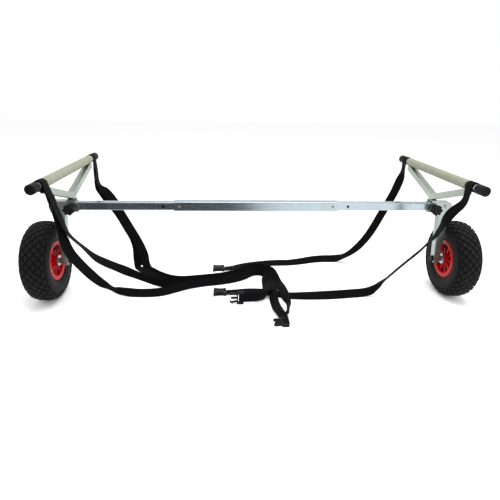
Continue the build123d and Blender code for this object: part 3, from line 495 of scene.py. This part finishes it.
def spun(bm, outline, centre, steps):
    """Turn a closed outline of (x, radius) points round a line along X."""
    points = [bm.verts.new((centre.x + x, centre.y, centre.z + r)) for x, r in outline]
    edges = [bm.edges.new(pair) for pair in zip(points, points[1:] + points[:1])]
    bmesh.ops.spin(
        bm, geom=points + edges, cent=centre, axis=(1, 0, 0), angle=2 * pi, steps=steps,
        use_merge=True,
    )


def ribbon(bm, path, widths, width, thickness):
    """Sweep a strap's section along a path, with its width in the given directions."""
    across = bm.verts.layers.float.new("across")
    along = bm.verts.layers.float.new("along")
    half, low = width / 2, thickness / 2
    edge = thickness * 0.4
    section = (
        (-half, 0), (-half + edge, low), (-half / 2, low * 1.1), (0, low), (half / 2, low * 1.1),
        (half - edge, low), (half, 0), (half - edge, -low), (half / 2, -low * 1.1), (0, -low),
        (-half / 2, -low * 1.1), (-half + edge, -low),
    )
    before = None
    total = 0.0
    verts = [bm.verts.new((a, b, 0)) for a, b in section]
    for vert, (a, _) in zip(verts, section):
        vert[across] = a
    edges = [bm.edges.new(pair) for pair in zip(verts, verts[1:] + verts[:1])]
    bmesh.ops.contextual_create(bm, geom=edges)
    for i, point in enumerate(path):
        ahead = path[min(i + 1, len(path) - 1)] - path[max(i - 1, 0)]
        run = ahead.normalized()
        wide = (widths[i] - run * widths[i].dot(run)).normalized()
        deep = run.cross(wide)
        here = Matrix((wide, deep, run)).transposed().to_4x4()
        here.translation = point
        if before is None:
            bmesh.ops.transform(bm, matrix=here, verts=verts)
        else:
            total += (point - path[i - 1]).length
            grown = bmesh.ops.extrude_edge_only(bm, edges=edges)["geom"]
            verts = [g for g in grown if isinstance(g, bmesh.types.BMVert)]
            edges = [
                g for g in grown
                if isinstance(g, bmesh.types.BMEdge) and all(v in verts for v in g.verts)
            ]
            bmesh.ops.transform(bm, matrix=here @ before.inverted(), verts=verts)
            for vert in verts:
                vert[along] = total
        before = here
    bmesh.ops.contextual_create(bm, geom=edges)
    bmesh.ops.recalc_face_normals(bm, faces=bm.faces)
    weave = bm.loops.layers.uv.new("weave")
    for face in bm.faces:
        for loop in face.loops:
            loop[weave].uv = (loop.vert[across], loop.vert[along])


def smooth_line(name, points):
    """The points that a NURBS line through these control points follows."""
    curve = bpy.data.curves.new(name + "_line", "CURVE")
    curve.dimensions = "3D"
    spline = curve.splines.new("NURBS")
    spline.points.add(len(points) - 1)
    for spot, point in zip(spline.points, points):
        spot.co = (*point, 1.0)
    spline.order_u = 3
    spline.use_endpoint_u = True
    spline.resolution_u = 10
    guide = bpy.data.objects.new(name + "_line", curve)
    bpy.context.collection.objects.link(guide)
    mesh = bpy.data.meshes.new_from_object(guide)
    path = [vert.co.copy() for vert in mesh.vertices]
    bpy.data.objects.remove(guide)
    bpy.data.curves.remove(curve)
    bpy.data.meshes.remove(mesh)
    return path


def width_directions(route, path, half_width):
    """Which way the webbing's width points: as listed in the air, and by its height on the floor."""
    points = [Vector(p) for p in route["points"]]
    last = len(points) - 1
    by_hand = {i: Vector(v) for i, v in route["widths"]}
    keys = [(i, v) for i, v in by_hand.items() if i < route["landing"]]
    in_air = len(keys)
    for i in range(route["landing"], last - 2):
        if i in by_hand:
            keys.append((i, by_hand[i]))
            continue
        between = [j for j in by_hand if j < i and j > route["landing"]]
        if between and any(j > i for j in by_hand):
            continue
        run = (points[i + 1] - points[i - 1]).normalized()
        level = Vector((-run.y, run.x, 0)).normalized()
        lean = asin(max(0.0, min(1.0, (points[i].z - 0.0012) / half_width)))
        turn = level * cos(lean) + Vector((0, 0, 1)) * sin(lean)
        other = -level * cos(lean) + Vector((0, 0, 1)) * sin(lean)
        near = keys[-1][1].normalized()
        keys.append((i, turn if turn.dot(near) >= other.dot(near) else other))
    keys.append((last, Vector(route["end"])))
    result = []
    for k in range(len(path)):
        spot = k / (len(path) - 1) * last
        lower = max(j for j, key in enumerate(keys) if key[0] <= spot)
        upper = min(lower + 1, len(keys) - 1)
        start, end = keys[lower], keys[upper]
        share = 0.0 if upper == lower else (spot - start[0]) / (end[0] - start[0])
        share = share * share * (3 - 2 * share) if lower < in_air else share
        a, b = start[1].normalized(), end[1].normalized()
        if a.dot(b) < 0:
            b = -b
        result.append(a.lerp(b, share).normalized())
    for k in range(1, len(result)):
        if result[k].dot(result[k - 1]) < 0:
            result[k] = -result[k]
    return result


# ---- operators ----------------------------------------------------------------------------
class CART_OT_finishes(bpy.types.Operator):
    """Give every CAD piece its finish"""

    bl_idname = "cart.finishes"
    bl_label = "Finishes"

    def execute(self, context):
        make_materials(context.scene.cart_finish)
        for entry in frame["record"]["subparts"]:
            node = NODES[entry["node"]]
            finish = NODE_FINISH.get(entry["node"], SLOT_FINISH[entry["material_slot"]])
            material = MATERIALS[finish]
            node.data.materials.clear()
            node.data.materials.append(material)
        return {"FINISHED"}


class CART_OT_straps(bpy.types.Operator):
    """Lay the webbing straps along their routes"""

    bl_idname = "cart.straps"
    bl_label = "Straps"

    def execute(self, context):
        sizes = context.scene.cart_webbing
        for name, route in ROUTES.items():
            path = smooth_line(name, route["points"])
            widths = width_directions(route, path, sizes.width / 2)
            bm = bmesh.new()
            ribbon(bm, path, widths, sizes.width, sizes.thickness)
            strap = finished(
                name + "_webbing", bm, "polyester_webbing", None
            )
            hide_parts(name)
            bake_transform(strap)
        return {"FINISHED"}


class CART_OT_strap_loops(bpy.types.Operator):
    """Wrap the webbing loops round the hull bars"""

    bl_idname = "cart.strap_loops"
    bl_label = "Strap loops"

    def execute(self, context):
        sizes = context.scene.cart_webbing
        thick = sizes.thickness
        inner_r = BAR_R + 0.0004 + thick / 2
        for side, sign in SIDES.items():
            bm = bmesh.new()
            for start_y, tilt in ((-0.216, 27.4 if side == "left" else 0.0), (0.226, 0.0)):
                lean = tan(radians(tilt))
                drop = 0.0215 if side == "right" else 0.077 * cos(radians(tilt))
                path = []
                widths = []

                def point(x, z):
                    down = max(0.0, BAR.z - z)
                    path.append(Vector((sign * x, start_y + down * lean, z)))
                    share = min(1.0, down / 0.02)
                    angle = radians(tilt) * share
                    widths.append(Vector((0, cos(angle), sin(angle))))

                gap = 0.0 if side == "right" else 0.0026
                outer_x = BAR.x - inner_r - thick - gap
                steps = 10
                for i in range(steps):
                    share = i / steps
                    ease = 1 - max(0.0, (share - 0.4) / 0.6)
                    z = BAR.z - drop * (1 - share)
                    point(outer_x + gap * (1 - min(1.0, ease)), z)
                turns = 36
                for i in range(turns + 1):
                    angle = pi - 2 * pi * i / turns
                    radius = inner_r + thick * (1 - i / turns)
                    point(BAR.x + radius * cos(angle), BAR.z + radius * sin(angle))
                for i in range(1, steps + 1):
                    share = i / steps
                    out = gap * min(1.0, max(0.0, (share - 0.0) / 0.6))
                    point(BAR.x - inner_r + out, BAR.z - drop * share)
                part = bmesh.new()
                ribbon(part, path, widths, sizes.width - 0.001, thick)
                mesh = bpy.data.meshes.new("loop_part")
                part.to_mesh(mesh)
                part.free()
                bm.from_mesh(mesh)
                bpy.data.meshes.remove(mesh)
            loops = finished(
                side + "_webbing_loops", bm, "polyester_webbing", side + "_saddle"
            )
            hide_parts(side + "_strap_loops")
        return {"FINISHED"}


class CART_OT_slot_wraps(bpy.types.Operator):
    """Turn the webbing over the bar of each buckle tongue and down its slot"""

    bl_idname = "cart.slot_wraps"
    bl_label = "Slot wraps"

    def execute(self, context):
        sizes = context.scene.cart_webbing
        # along the tongue from its middle, and up from its lower face
        turn = ((0.0119, 0.0030), (0.0119, 0.0080), (0.0114, 0.0104), (0.0095, 0.0109),
                (0.0040, 0.0110), (-0.0010, 0.0109), (-0.0036, 0.0104), (-0.0042, 0.0085),
                (-0.0042, 0.0020))
        flat = [Vector((TONGUE_FLAT.x + a, TONGUE_FLAT.y, TONGUE_FLAT.z + b)) for a, b in turn]
        upright = [Vector((TONGUE_EDGE.x + a, TONGUE_EDGE.y - b, TONGUE_EDGE.z)) for a, b in turn]
        for name, path, wide in (
            ("left_flat_tongue_wrap", flat, Vector((0, 1, 0))),
            ("left_edge_tongue_wrap", upright, Vector((0, 0, 1))),
        ):
            bm = bmesh.new()
            ribbon(bm, path, [wide] * len(path), sizes.width - 0.002, sizes.thickness)
            finished(name, bm, "polyester_webbing", "left_side")
        return {"FINISHED"}


class CART_OT_tyres(bpy.types.Operator):
    """Mould the tyres with their diamond tread"""

    bl_idname = "cart.tyres"
    bl_label = "Tyres"

    def execute(self, context):
        sizes = context.scene.cart_tyres
        # half of the carcass's outside, from the bead to the crown: (x, radius)
        outside = (
            (0.0300, 0.0580), (0.0300, 0.0640), (0.0312, 0.0662), (0.0345, 0.0690),
            (0.0365, 0.0730), (0.0385, 0.0790), (0.0398, 0.0850), (0.0403, 0.0920),
            (0.0398, 0.0990), (0.0382, 0.1060), (0.0350, 0.1130), (0.0300, 0.1185),
            (0.0225, 0.1226), (0.0120, 0.1254), (0.0, 0.1262),
        )
        inside = ((0.0, 0.1205), (0.0220, 0.1160), (0.0320, 0.1060), (0.0345, 0.0920),
                  (0.0310, 0.0760), (0.0230, 0.0580))
        outline = list(outside) + [(-x, r) for x, r in outside[-2::-1]]
        outline += [(-x, r) for x, r in inside[::-1]] + list(inside[1:])
        columns = self.columns(outside)
        count = round(2 * pi * TYRE_R / sizes.pitch)
        for side, sign in SIDES.items():
            centre = Vector((sign * WHEEL.x, WHEEL.y, WHEEL.z))
            bm = bmesh.new()
            spun(bm, outline, centre, 120)
            bmesh.ops.recalc_face_normals(bm, faces=bm.faces)
            for number, (x, radius, slope, half) in enumerate(columns):
                self.block_ring(bm, centre, x, radius, slope, half, sizes, count, number % 2)
            tyre = finished(side + "_treaded_tyre", bm, "tyre_rubber", side + "_wheel")
            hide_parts(side + "_tyre")
        return {"FINISHED"}

    def columns(self, outside):
        """Places of the tread's columns over the crown: x, radius, slope and half-width."""
        found = []
        for x, half in (
            (-0.0366, 0.0066), (-0.0308, 0.0092), (-0.0216, 0.0096), (-0.0110, 0.0097),
            (0.0, 0.0097), (0.0110, 0.0097), (0.0216, 0.0096), (0.0308, 0.0092),
            (0.0366, 0.0066),
        ):
            for (x1, r1), (x2, r2) in zip(outside[8:], outside[9:]):
                if x2 <= abs(x) <= x1:
                    share = (x1 - abs(x)) / (x1 - x2)
                    slope = atan2(r2 - r1, x1 - x2)
                    found.append((x, r1 + (r2 - r1) * share, slope if x > 0 else -slope, half))
                    break
        return found

    def block_ring(self, bm, centre, x, radius, slope, half, sizes, count, odd):
        """A ring of diamond blocks at one place across the tyre."""
        depth = sizes.depth
        made = bmesh.ops.create_circle(bm, cap_ends=True, segments=4, radius=half)
        face = made["verts"][0].link_faces[0]
        long = (sizes.pitch / 2 - 0.0016) / half
        bmesh.ops.scale(bm, verts=made["verts"], vec=(1.0, long, 1.0))
        bmesh.ops.translate(bm, verts=made["verts"], vec=(0, 0, -depth * 0.4))
        grown = bmesh.ops.extrude_face_region(bm, geom=[face])["geom"]
        tops = [g for g in grown if isinstance(g, bmesh.types.BMVert)]
        bmesh.ops.translate(bm, verts=tops, vec=(0, 0, depth * 1.4))
        bmesh.ops.scale(bm, verts=tops, vec=(0.86, 0.86, 1.0))
        verts = list({*made["verts"], *tops})
        lid = [f for f in bm.faces if all(v in tops for v in f.verts)]
        rims = list({e for f in lid for e in f.edges})
        bevelled = bmesh.ops.bevel(
            bm, geom=rims, offset=0.0007, segments=1, profile=0.5, affect="EDGES", material=-1
        )
        verts = list({v for v in [*verts, *bevelled["verts"]] if v.is_valid})
        turn = Matrix.Rotation(slope, 4, "Y")
        place = Matrix.Translation(centre + Vector((x, 0, radius)))
        bmesh.ops.transform(bm, matrix=place @ turn, verts=verts)
        step = 2 * pi / count
        if odd:
            bmesh.ops.rotate(
                bm, verts=verts, cent=centre, matrix=Matrix.Rotation(step / 2, 3, "X")
            )
        faces = list({f for v in verts for f in v.link_faces})
        edges = list({e for v in verts for e in v.link_edges})
        bmesh.ops.spin(
            bm, geom=verts + edges + faces, cent=centre, axis=(1, 0, 0),
            angle=2 * pi - step, steps=count - 1, use_duplicate=True,
        )


class CART_OT_valves(bpy.types.Operator):
    """Put a valve stem through each rim"""

    bl_idname = "cart.valves"
    bl_label = "Valves"

    def execute(self, context):
        stem = ((0.0, 0.0), (0.0045, 0.0), (0.0042, 0.012), (0.0032, 0.016), (0.0032, 0.022),
                (0.0042, 0.0225), (0.0042, 0.031), (0.0030, 0.033), (0.0, 0.033))
        for side, sign in SIDES.items():
            bm = bmesh.new()
            points = [bm.verts.new((r, 0, z)) for r, z in stem]
            edges = [bm.edges.new(pair) for pair in zip(points, points[1:])]
            bmesh.ops.spin(
                bm, geom=points + edges, cent=(0, 0, 0), axis=(0, 0, 1), angle=2 * pi, steps=20,
                use_merge=True,
            )
            bmesh.ops.remove_doubles(bm, verts=bm.verts, dist=1e-6)
            bmesh.ops.recalc_face_normals(bm, faces=bm.faces)
            lean = Matrix.Rotation(radians(-68 * sign), 4, "Y")
            place = Matrix.Translation((sign * (WHEEL.x - 0.006), WHEEL.y, WHEEL.z + 0.0545))
            bmesh.ops.transform(
                bm, matrix=place @ Matrix.Rotation(pi, 4, "X") @ lean, verts=bm.verts
            )
            finished(side + "_valve", bm, "cap_rubber", side + "_wheel")
        return {"FINISHED"}


class CART_OT_stage(bpy.types.Operator):
    """Lay the floor, hang the lights and set the camera"""

    bl_idname = "cart.stage"
    bl_label = "Studio"

    def execute(self, context):
        scene = context.scene
        bm = bmesh.new()
        bmesh.ops.create_grid(bm, x_segments=1, y_segments=1, size=8.0)
        mesh = bpy.data.meshes.new("studio_floor")
        bm.to_mesh(mesh)
        bm.free()
        floor = bpy.data.objects.new("studio_floor", mesh)
        scene.collection.objects.link(floor)
        material, shader = new_material("matt paper floor")
        shader.inputs["Base Color"].default_value = linear("fafafa")
        shader.inputs["Roughness"].default_value = 0.9
        mesh.materials.append(material)
        # a black felt flag ahead of the cart's left half, which only the metal mirrors
        bm = bmesh.new()
        bmesh.ops.create_grid(bm, x_segments=1, y_segments=1, size=0.5)
        bmesh.ops.scale(bm, verts=bm.verts, vec=(3.2, 2.2, 1.0))
        bmesh.ops.translate(bm, verts=bm.verts, vec=(-1.52, -1.75, 0.003))
        mesh = bpy.data.meshes.new("studio_flag")
        bm.to_mesh(mesh)
        bm.free()
        flag = bpy.data.objects.new("studio_flag", mesh)
        scene.collection.objects.link(flag)
        felt, shader = new_material("black felt")
        shader.inputs["Base Color"].default_value = linear("050505")
        shader.inputs["Roughness"].default_value = 1.0
        shader.inputs["Specular IOR Level"].default_value = 0.0
        mesh.materials.append(felt)
        flag.visible_camera = False
        flag.visible_diffuse = False
        flag.visible_shadow = False
        world = bpy.data.worlds.new("studio_air")
        scene.world = world
        world.use_nodes = True
        air = world.node_tree.nodes["Background"]
        air.inputs["Color"].default_value = (1.0, 1.0, 1.0, 1.0)
        air.inputs["Strength"].default_value = 1.0
        for name, place, size, power in (
            ("overhead_softbox", (0.2, -0.1, 2.4), 2.0, 60.0),
            ("right_softbox", (2.2, -1.6, 1.3), 1.6, 30.0),
            ("left_softbox", (-2.2, -0.6, 1.6), 1.4, 5.0),
        ):
            lamp = bpy.data.lights.new(name, "AREA")
            lamp.shape = "SQUARE"
            lamp.size = size
            lamp.energy = power
            holder = bpy.data.objects.new(name, lamp)
            holder.location = place
            aim = Vector((0, 0, 0.25)) - Vector(place)
            holder.rotation_euler = aim.to_track_quat("-Z", "Y").to_euler()
            scene.collection.objects.link(holder)
        camera = bpy.data.cameras.new("view")
        camera.sensor_width = 36.0
        camera.lens = scene.cart_studio.lens
        eye = bpy.data.objects.new("view", camera)
        yaw, pitch, roll = -0.062, 0.365, 0.018
        ahead = Vector((-sin(yaw) * cos(pitch), cos(yaw) * cos(pitch), -sin(pitch)))
        level = Vector((cos(yaw), sin(yaw), 0))
        upright = level.cross(ahead)
        right = level * cos(roll) + upright * sin(roll)
        up = upright * cos(roll) - level * sin(roll)
        pose = Matrix((right, up, -ahead)).transposed().to_4x4()
        pose.translation = (-0.0999, -1.3208, 0.6654)
        eye.matrix_world = pose
        scene.collection.objects.link(eye)
        scene.camera = eye
        scene.view_settings.view_transform = "Standard"
        return {"FINISHED"}


class CART_PT_panel(bpy.types.Panel):
    """Lists what the cart is made of."""

    bl_idname = "CART_PT_panel"
    bl_label = "Boat launching cart"
    bl_space_type = "VIEW_3D"
    bl_region_type = "UI"
    bl_category = "Cart"

    def draw(self, context):
        for group in ("cart_webbing", "cart_tyres", "cart_finish", "cart_studio"):
            values = getattr(context.scene, group)
            box = self.layout.box()
            for name in values.bl_rna.properties.keys():
                if name not in {"rna_type", "name"}:
                    box.prop(values, name)
        for operator in STEPS:
            self.layout.operator(operator.bl_idname)


GROUPS = {
    "cart_webbing": CartWebbing,
    "cart_tyres": CartTyres,
    "cart_finish": CartFinish,
    "cart_studio": CartStudio,
}
STEPS = (
    CART_OT_finishes,
    CART_OT_stage,
    CART_OT_straps,
    CART_OT_strap_loops,
    CART_OT_slot_wraps,
    CART_OT_tyres,
    CART_OT_valves,
)


def register():
    for kind in (*GROUPS.values(), *STEPS, CART_PT_panel):
        bpy.utils.register_class(kind)
    for name, kind in GROUPS.items():
        setattr(bpy.types.Scene, name, bpy.props.PointerProperty(type=kind))


def unregister():
    for name in GROUPS:
        delattr(bpy.types.Scene, name)
    for kind in (CART_PT_panel, *reversed(STEPS), *reversed(list(GROUPS.values()))):
        bpy.utils.unregister_class(kind)


def main():
    register()
    for operator in STEPS:
        group, name = operator.bl_idname.split(".")
        getattr(getattr(bpy.ops, group), name)()


if __name__ == "__main__":
    main()
